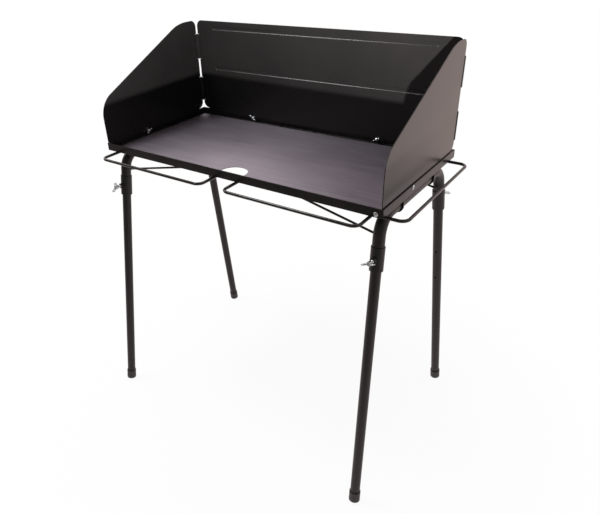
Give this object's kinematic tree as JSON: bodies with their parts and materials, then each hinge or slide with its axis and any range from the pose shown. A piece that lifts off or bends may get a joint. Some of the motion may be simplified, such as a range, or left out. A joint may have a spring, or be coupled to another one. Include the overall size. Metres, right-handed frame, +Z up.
{
  "type": "dutch oven cook table",
  "caption": "Folding steel camp cooking table with a loose cook plate in an angle frame, a hinged windscreen, splayed telescoping legs and rod utensil rails.",
  "frame": {"origin": "on the floor, under the centre of the table's overall box", "axes": "+X to the cook's right, -Y towards the cook, +Z up"},
  "size_m": [0.9766, 0.6376, 1.159],
  "materials": {
    "frame_black": "satin black powder coat",
    "rod_black": "satin black powder coat",
    "screen_black": "semi-gloss black powder coat",
    "leg_black": "satin black powder coat",
    "plate_steel": "satin rolled steel",
    "zinc": "bright zinc plating",
    "foot_black": "matt black plastic"
  },
  "bodies": {
    "table": {"front_rail": "frame_black", "rear_rail": "frame_black", "left_rail": "frame_black", "right_rail": "frame_black", "back_panel": "screen_black", "left_fixed_leaves": "screen_black", "right_fixed_leaves": "screen_black", "left_hinge_pins": "screen_black", "right_hinge_pins": "screen_black", "screen_bolts": "zinc", "corner_bolt_head": "zinc", "left_leg_hangers": "frame_black", "right_leg_hangers": "frame_black", "left_catches": "frame_black", "right_catches": "frame_black", "front_left_utensil_rail": "rod_black", "front_right_utensil_rail": "rod_black", "side_utensil_rail": "rod_black"},
    "plate": {"cook_plate": "plate_steel"},
    "left_screen": {"left_panel": "screen_black", "left_moving_leaves": "screen_black"},
    "right_screen": {"right_panel": "screen_black", "right_moving_leaves": "screen_black"},
    "left_nut": {"left_wing_nut": "zinc"},
    "right_nut": {"right_wing_nut": "zinc"},
    "back_left_nut": {"back_left_wing_nut": "zinc"},
    "back_right_nut": {"back_right_wing_nut": "zinc"},
    "left_legs": {"left_leg_frame": "leg_black", "front_left_collar": "leg_black", "rear_left_collar": "leg_black"},
    "right_legs": {"right_leg_frame": "leg_black", "front_right_collar": "leg_black", "rear_right_collar": "leg_black"},
    "left_stay": {"left_brace": "rod_black"},
    "right_stay": {"right_brace": "rod_black"},
    "front_left_lower": {"front_left_leg": "leg_black", "front_left_foot": "foot_black"},
    "front_left_wing_screw": {"front_left_screw": "zinc"},
    "front_right_lower": {"front_right_leg": "leg_black", "front_right_foot": "foot_black"},
    "front_right_wing_screw": {"front_right_screw": "zinc"},
    "rear_left_lower": {"rear_left_leg": "leg_black", "rear_left_foot": "foot_black"},
    "rear_left_wing_screw": {"rear_left_screw": "zinc"},
    "rear_right_lower": {"rear_right_leg": "leg_black", "rear_right_foot": "foot_black"},
    "rear_right_wing_screw": {"rear_right_screw": "zinc"}
  },
  "joints": [
    {"name": "left_panel_fold", "type": "hinge", "parent": "table", "child": "left_screen", "pos_m": [-0.45499, 0.212, 1.009], "axis": [0, 0, 1], "range_deg": [0, 84]},
    {"name": "right_panel_fold", "type": "hinge", "parent": "table", "child": "right_screen", "pos_m": [0.43161, 0.212, 1.009], "axis": [0, 0, -1], "range_deg": [0, 84]},
    {"name": "plate_tilt", "type": "hinge", "parent": "table", "child": "plate", "pos_m": [-0.0117, 0.1985, 0.855], "axis": [-1, 0, 0], "range_deg": [0, 5]},
    {"name": "left_leg_fold", "type": "hinge", "parent": "table", "child": "left_legs", "pos_m": [-0.4382, 0, 0.832], "axis": [0, -1, 0], "range_deg": [0, 78]},
    {"name": "right_leg_fold", "type": "hinge", "parent": "table", "child": "right_legs", "pos_m": [0.4148, 0, 0.832], "axis": [0, 1, 0], "range_deg": [0, 84]},
    {"name": "left_brace_swing", "type": "hinge", "parent": "left_legs", "child": "left_stay", "pos_m": [-0.4405, 0, 0.77699], "axis": [0, 1, 0], "range_deg": [0, 94]},
    {"name": "right_brace_swing", "type": "hinge", "parent": "right_legs", "child": "right_stay", "pos_m": [0.41711, 0, 0.77699], "axis": [0, -1, 0], "range_deg": [0, 101]},
    {"name": "front_left_leg_slide", "type": "slide", "parent": "left_legs", "child": "front_left_lower", "axis": [0.0414, 0.1513, 0.9876], "range_m": [0, 0.025]},
    {"name": "front_right_leg_slide", "type": "slide", "parent": "right_legs", "child": "front_right_lower", "axis": [-0.0414, 0.1513, 0.9876], "range_m": [0, 0.025]},
    {"name": "rear_left_leg_slide", "type": "slide", "parent": "left_legs", "child": "rear_left_lower", "axis": [0.0414, -0.1513, 0.9876], "range_m": [0, 0.025]},
    {"name": "rear_right_leg_slide", "type": "slide", "parent": "right_legs", "child": "rear_right_lower", "axis": [-0.0414, -0.1513, 0.9876], "range_m": [0, 0.025]},
    {"name": "front_left_screw_turn", "type": "hinge", "parent": "left_legs", "child": "front_left_wing_screw", "pos_m": [-0.44229, -0.19198, 0.73423], "axis": [0.0063, -0.9885, 0.1511], "continuous": true},
    {"name": "front_right_screw_turn", "type": "hinge", "parent": "right_legs", "child": "front_right_wing_screw", "pos_m": [0.4189, -0.19198, 0.73423], "axis": [-0.0063, -0.9885, 0.1511], "continuous": true},
    {"name": "rear_left_screw_turn", "type": "hinge", "parent": "left_legs", "child": "rear_left_wing_screw", "pos_m": [-0.44229, 0.19198, 0.73423], "axis": [0.0063, 0.9885, 0.1511], "continuous": true},
    {"name": "rear_right_screw_turn", "type": "hinge", "parent": "right_legs", "child": "rear_right_wing_screw", "pos_m": [0.4189, 0.19198, 0.73423], "axis": [-0.0063, 0.9885, 0.1511], "continuous": true},
    {"name": "left_nut_turn", "type": "hinge", "parent": "left_screen", "child": "left_nut", "pos_m": [-0.4517, -0.06, 0.8685], "axis": [1, 0, 0], "continuous": true},
    {"name": "right_nut_turn", "type": "hinge", "parent": "right_screen", "child": "right_nut", "pos_m": [0.4283, -0.06, 0.8685], "axis": [-1, 0, 0], "continuous": true},
    {"name": "back_left_nut_turn", "type": "hinge", "parent": "table", "child": "back_left_nut", "pos_m": [-0.23569, 0.208, 0.8685], "axis": [0, -1, 0], "continuous": true},
    {"name": "back_right_nut_turn", "type": "hinge", "parent": "table", "child": "back_right_nut", "pos_m": [0.2123, 0.208, 0.8685], "axis": [0, -1, 0], "continuous": true}
  ],
  "couplings": [
    {"joint": "left_brace_swing", "follows": "left_leg_fold", "ratio": 1.2},
    {"joint": "right_brace_swing", "follows": "right_leg_fold", "ratio": 1.2}
  ]
}
